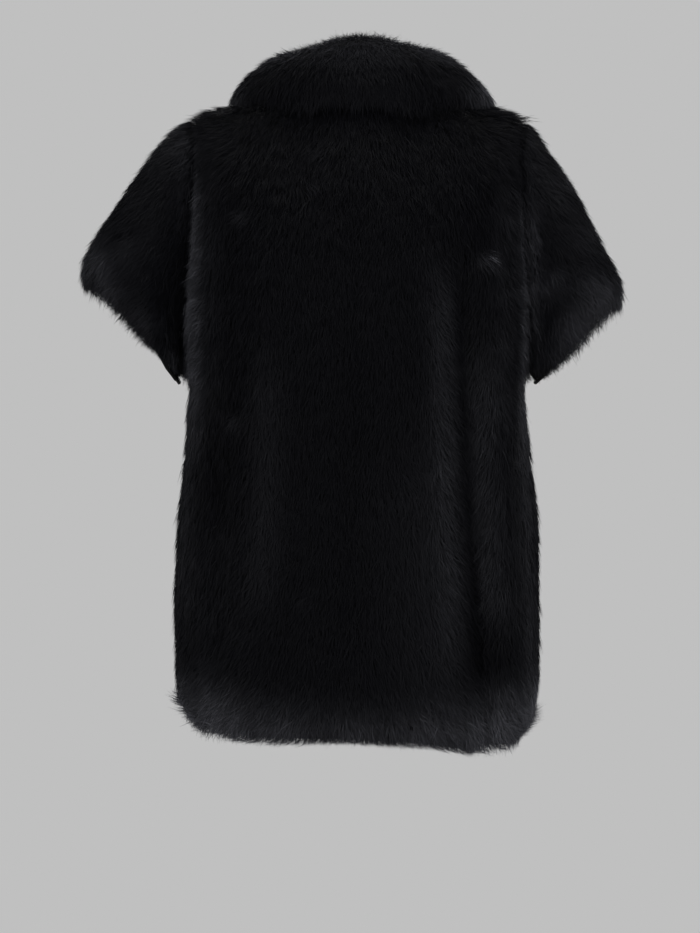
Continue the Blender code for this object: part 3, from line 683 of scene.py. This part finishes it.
def kept_within(form, feet, waist, tips, freedom):
    """Hairs that would stand too far out of the solid's form are cut shorter."""
    share = np.ones(len(feet))
    for _ in range(CUT_ROUNDS):
        reach = feet + (tips - feet) * share[:, None]
        outside = np.zeros(len(feet))
        for index, tip in enumerate(reach):
            near, normal, _, gap = form.find_nearest(tip)
            x, y, z = tip[0] - near.x, tip[1] - near.y, tip[2] - near.z
            if x * normal.x + y * normal.y + z * normal.z > 0.0:
                outside[index] = gap
        size = np.linalg.norm(reach - feet, axis=1)
        excess = np.maximum(outside - freedom, 0.0)
        kept = 1.0 - excess / np.maximum(size, SHORTEST_HAIR)
        share = np.maximum(share * kept, SHORTEST_SHARE)
    return cut_short(feet, waist, tips, share)


def ended_at_edge(node, feet, waist, tips, random):
    """Hairs that hang lower than the pile does there are cut shorter, but for a few wisps."""
    if node not in PILE_ENDS:
        return waist, tips
    end_x, end_z = zip(*PILE_ENDS[node])
    lowest = np.interp(tips[:, 0], end_x, end_z) - np.abs(random.normal(0.0, WISP, len(tips)))
    share = (feet[:, 2] - lowest) / np.maximum(feet[:, 2] - tips[:, 2], SHORTEST_HAIR)
    share = np.where(tips[:, 2] < lowest, np.clip(share, SHORTEST_SHARE, 1.0), 1.0)
    return cut_short(feet, waist, tips, share)


def hair_corners(feet, waist, tips, out, random):
    """Foot, two waist corners and tip of every hair, each hair rolled a little about itself."""
    along = unit(tips - feet)
    roll = np.interp(np.abs(out[:, 1]), ROLL_FACING, HAIR_ROLL)
    side = turned(unit(np.cross(out, along)), along, random.normal(0.0, 1.0, len(feet)) * roll)
    half = side * HAIR_WIDTH / 2.0 * random.uniform(*WIDTH_SPREAD, len(feet))[:, None]
    return np.stack([feet, waist - half, waist + half, tips], axis=1).reshape(-1, 3)


def joined_hairs(name, corners):
    """One mesh of all hairs, two triangles each."""
    first = np.arange(0, len(corners), HAIR_CORNERS)[:, None]
    order = (first + np.array([HAIR_TRIANGLES])).ravel()
    data = bpy.data.meshes.new(name)
    data.vertices.add(len(corners))
    data.vertices.foreach_set("co", corners.astype(np.float32).ravel())
    data.loops.add(len(order))
    data.loops.foreach_set("vertex_index", order.astype(np.int32))
    data.polygons.add(len(order) // 3)
    data.polygons.foreach_set("loop_start", np.arange(0, len(order), 3, dtype=np.int32))
    data.update(calc_edges=True)
    return data


def pale_streaks(x, z, rows):
    """Soft upright streaks of painted light or shade, each fading at its ends."""
    total = np.zeros(len(x))
    for top_x, bottom_x, top_z, bottom_z, half_width, gain in rows:
        share = (top_z - z) / (top_z - bottom_z)
        middle = top_x + (bottom_x - top_x) * np.clip(share, 0.0, 1.0)
        ends = rise(share, 0.0, STREAK_END) * fall(share, 1.0, STREAK_END)
        total += gain * ends * hump(x - middle, half_width)
    return total


def patches(x, z, rows):
    """Soft round patches of painted light on the pile."""
    total = np.zeros(len(x))
    for middle_x, middle_z, radius, gain in rows:
        total += gain * np.exp(-(((x - middle_x) ** 2 + (z - middle_z) ** 2) / radius**2))
    return total


def unevenness(along, across):
    """Streaks in the painted light that wander along an edge, between less and more than even."""
    waves = (np.sin(a * along + b * across + start) for a, b, start in STREAK_WAVES)
    return 1.0 + STREAK_GAIN * (sum(waves) / 2.0)


# Painted light on the collar: paler on the roll, where light falls on it, and at the leaf's lower
# edge, against the shade under it.
def collar_lightness(skin, out):
    x, _, z = skin.T
    on_roll = rise(z, *ROLL_FOOT_Z) + rise(-dot(out, unit(skin * FLAT)), *ROLL_INNER_TURN)
    pale = COLLAR_TONE + LEAF_EDGE_PAINTED_LIGHT * leaf_edge(skin, out)
    return pale + ROLL_PAINTED_LIGHT * np.minimum(on_roll, 1.0) + patches(x, z, COLLAR_PAINTED_LIGHT)


def sleeve_lightness(node, skin):
    x, y, z = skin.T
    # Painted rim light towards the cuff.
    pale = SLEEVE_TONE + CUFF_PAINTED_LIGHT * at_cuff(node, skin) ** CUFF_POWER
    # Painted light in patches on the sleeves.
    pale += patches(x, z, SLEEVE_PAINTED_LIGHT_PATCHES)
    # Painted light in streaks by the armhole seam, on the sleeve's back-facing side.
    return pale + pale_streaks(x, z, SLEEVE_PAINTED_LIGHT) * rise(y, *SLEEVE_BACK_Y)


def hem_painted_light(x, z):
    """Painted light along the hem, deeper and paler towards its corners."""
    to_corner = np.clip(np.abs(x) / HEM_CORNER_X, 0.0, 1.0) ** HEM_CORNER_POWER
    top_z = HEM_PALE_Z + HEM_CORNER_RISE * to_corner
    at_hem = fall(z, top_z, HEM_PALE_HEIGHT) ** HEM_POWER
    return at_hem * unevenness(x, z) * (HEM_PAINTED_LIGHT + HEM_CORNER_PAINTED_LIGHT * to_corner)


def armhole_painted_light(x, z, out):
    """Painted rim light on the armholes' edges, shoulder to underarm, where they face the back."""
    pale_x = np.where(x > 0.0, *ARMHOLE_PALE_X)
    beside = rise(np.abs(x), pale_x, ARMHOLE_PALE_WIDTH)
    beside += ARMHOLE_HALO * rise(np.abs(x), *ARMHOLE_HALO_X)
    down = sum(share * fall(z, start, width) for share, start, width in ARMHOLE_FADES)
    edge = beside * rise(z, *ARMHOLE_PALE_FOOT_Z) * down * unevenness(z, x)
    edge *= np.clip(np.abs(out[:, 1]) / ARMHOLE_FACING, ARMHOLE_FACING_LEAST, 1.0)
    return np.where(x > 0.0, *ARMHOLE_PAINTED_LIGHT) * edge


def trunk_lightness(node, skin, out):
    x, _, z = skin.T
    # Painted light along the hem.
    pale = TRUNK_TONE - YOKE_DARKER * rise(z, *YOKE_Z) + hem_painted_light(x, z)
    # Painted rim light along the armholes.
    pale += armhole_painted_light(x, z, out)
    # Painted light just under the collar's leaf, against the shade that the leaf casts.
    painted_light_under_leaf = rise(z, *NECK_Z) * fall(np.abs(x), *NECK_X)
    pale += NECK_PAINTED_LIGHT * painted_light_under_leaf
    if node == "back":
        # Painted light along the back's fold ridges and edge, painted shade in its valleys.
        pale += pale_streaks(x, z, BACK_PAINTED_LIGHT_AND_SHADE)
        # Painted sheen on each whorl, where its fanned pile catches the light.
        for middle_x, middle_z, radius, _, gain in COWLICKS:
            apart = np.hypot(x - middle_x, z - middle_z)
            pale += gain * hump(apart, radius * COWLICK_SHEEN_SHARE)
    else:
        # Painted light along the front's fold ridges, painted shade in its valleys.
        pale += pale_streaks(x, z, FRONT_PAINTED_LIGHT_AND_SHADE)
    return np.maximum(pale, DARKEST)


def lightness(node, skin, out):
    """How pale the pile shows at each place: its own tone, with painted light and shade added."""
    if node == "collar":
        return collar_lightness(skin, out)
    if node in SLEEVE_AXIS:
        return sleeve_lightness(node, skin)
    return trunk_lightness(node, skin, out)


def corner_tones(node, skin, out, locks, random):
    """The tone at each corner of each hair."""
    pale = lightness(node, skin, out)
    spread = np.interp(pale, SPREAD_PALE, TONE_SPREAD)
    own_tone = np.exp(random.normal(0.0, 1.0, len(skin)) * spread - spread * TONE_BALANCE)
    lock_tone = np.clip(locks.alike(random.normal, 1.0, LOCK_TONE_SPREAD), *LOCK_TONE_LIMITS)
    # Painted rim light where the cloth faces sideways.
    rim = 1.0 + RIM_LIGHT_GAIN * fall(np.abs(out[:, 1]), *RIM_LIGHT_FACING)
    tone = own_tone * lock_tone * pale * rim
    contrast = np.interp(pale, CONTRAST_PALE, CONTRAST)[:, None]
    corners = 1.0 + (np.array([FOOT_TO_TIP_TONES]) - 1.0) * contrast
    return (tone[:, None] * corners).ravel()


def hair_mesh(row, forms):
    """One piece of pile: every hair placed, laid down, drawn into its lock, cut and toned."""
    name, node, count, length, foot_lift, tip_lift, low_z, high_z, seed = row
    random = np.random.default_rng(seed)
    places, cloth, normals = skin_arrays(node, forms)
    middle = places[:, :, 2].mean(axis=1)
    keep = (middle >= low_z) & (middle < high_z)
    skin, feet, out = scatter(places[keep], cloth[keep], normals[keep], count, random)
    locks = Locks(feet, random)

    way = hair_ways(node, skin, out, locks, random)
    size = hair_sizes(node, length, skin, out, locks, random)
    first, last = hair_lifts(node, foot_lift, tip_lift, skin, out, locks, random)
    waist = feet + (way * np.cos(first) + out * np.sin(first)) * size / 2.0
    tips = waist + (way * np.cos(last) + out * np.sin(last)) * size / 2.0

    pull = locks.alike(random.uniform, *LOCK_PULL)[:, None]
    waist += (waist[locks.lead] - waist) * pull * WAIST_PULL
    tips += (tips[locks.lead] - tips) * pull
    freedom = tip_freedom(node, skin, out, locks, random)
    waist, tips = kept_within(forms[node], feet, waist, tips, freedom)
    waist, tips = ended_at_edge(node, feet, waist, tips, random)

    data = joined_hairs(name, hair_corners(feet, waist, tips, out, random))
    tones = corner_tones(node, skin, out, locks, random)
    shade = data.attributes.new("tone", "FLOAT", "POINT")
    shade.data.foreach_set("value", tones.astype(np.float32))
    return data


def set_inputs(shader, values):
    for name, value in values.items():
        shader.inputs[name].default_value = value


def new_material(name, surface):
    material = bpy.data.materials.new(name)
    material.use_nodes = True
    shader = material.node_tree.nodes["Principled BSDF"]
    set_inputs(shader, surface)
    return material, shader


def colour_ramp(nodes, colours):
    ramp = nodes.new("ShaderNodeValToRGB")
    for element, colour in zip(ramp.color_ramp.elements, colours):
        element.color = colour
    return ramp


def pile_material():
    material, shader = new_material("black_pile", PILE_SURFACE)
    nodes, links = material.node_tree.nodes, material.node_tree.links
    tone = nodes.new("ShaderNodeAttribute")
    tone.attribute_name = "tone"
    scaled = nodes.new("ShaderNodeMath")
    scaled.operation = "MULTIPLY"
    scaled.inputs[1].default_value = TONE_SCALE
    colour = colour_ramp(nodes, PILE_COLOURS)
    links.new(tone.outputs["Fac"], scaled.inputs[0])
    links.new(scaled.outputs[0], colour.inputs["Fac"])
    links.new(colour.outputs["Color"], shader.inputs["Base Color"])
    return material


def backing_material():
    material, shader = new_material("black_backing", BACKING_SURFACE)
    nodes, links = material.node_tree.nodes, material.node_tree.links
    place = nodes.new("ShaderNodeTexCoord")
    knit = nodes.new("ShaderNodeTexWave")
    set_inputs(knit, KNIT)
    colour = colour_ramp(nodes, BACKING_COLOURS)
    raised = nodes.new("ShaderNodeBump")
    set_inputs(raised, KNIT_RELIEF)
    links.new(place.outputs["Object"], knit.inputs["Vector"])
    links.new(knit.outputs["Fac"], colour.inputs["Fac"])
    links.new(colour.outputs["Color"], shader.inputs["Base Color"])
    links.new(knit.outputs["Fac"], raised.inputs["Height"])
    links.new(raised.outputs["Normal"], shader.inputs["Normal"])
    return material


def add_camera():
    camera = bpy.data.cameras.new("camera")
    camera.lens, camera.sensor_width = CAMERA_LENS, CAMERA_SENSOR
    holder = put_in_scene("camera", camera)
    holder.location = CAMERA_PLACE
    holder.rotation_euler = [math.radians(angle) for angle in CAMERA_TURN]
    bpy.context.scene.camera = holder


def add_lights():
    for name, place, size, power in LIGHTS:
        light = bpy.data.lights.new(name, "AREA")
        light.shape, light.size, light.energy = "SQUARE", size, power
        holder = put_in_scene(name, light)
        holder.location = place
        holder.rotation_euler = (AIM - Vector(place)).to_track_quat("-Z", "Y").to_euler()
    world = bpy.data.worlds.new("studio")
    world.use_nodes = True
    set_inputs(world.node_tree.nodes["Background"], WORLD_LIGHT)
    bpy.context.scene.world = world


def add_floor():
    mesh = bmesh.new()
    bmesh.ops.create_circle(mesh, cap_ends=True, segments=FLOOR_SIDES, radius=FLOOR_RADIUS)
    bmesh.ops.translate(mesh, verts=mesh.verts, vec=(0.0, 0.0, FLOOR_Z))
    data = mesh_data("floor", mesh)
    data.materials.append(new_material("pale_floor", FLOOR_SURFACE)[0])
    put_in_scene("floor", data)


add_camera()
pile, backing = pile_material(), backing_material()
forms = {node: form_of(node) for node in NODES}
furs = {}
for row in HAIR_ROWS:
    name, node = row[:2]
    furs.setdefault(node, []).append(add_piece(name, hair_mesh(row, forms), pile))
for node, width, length, area, held in SHEETS:
    cloth = add_backing(node, backing, forms)
add_floor()
add_lights()
bpy.context.scene.view_settings.view_transform = "Standard"
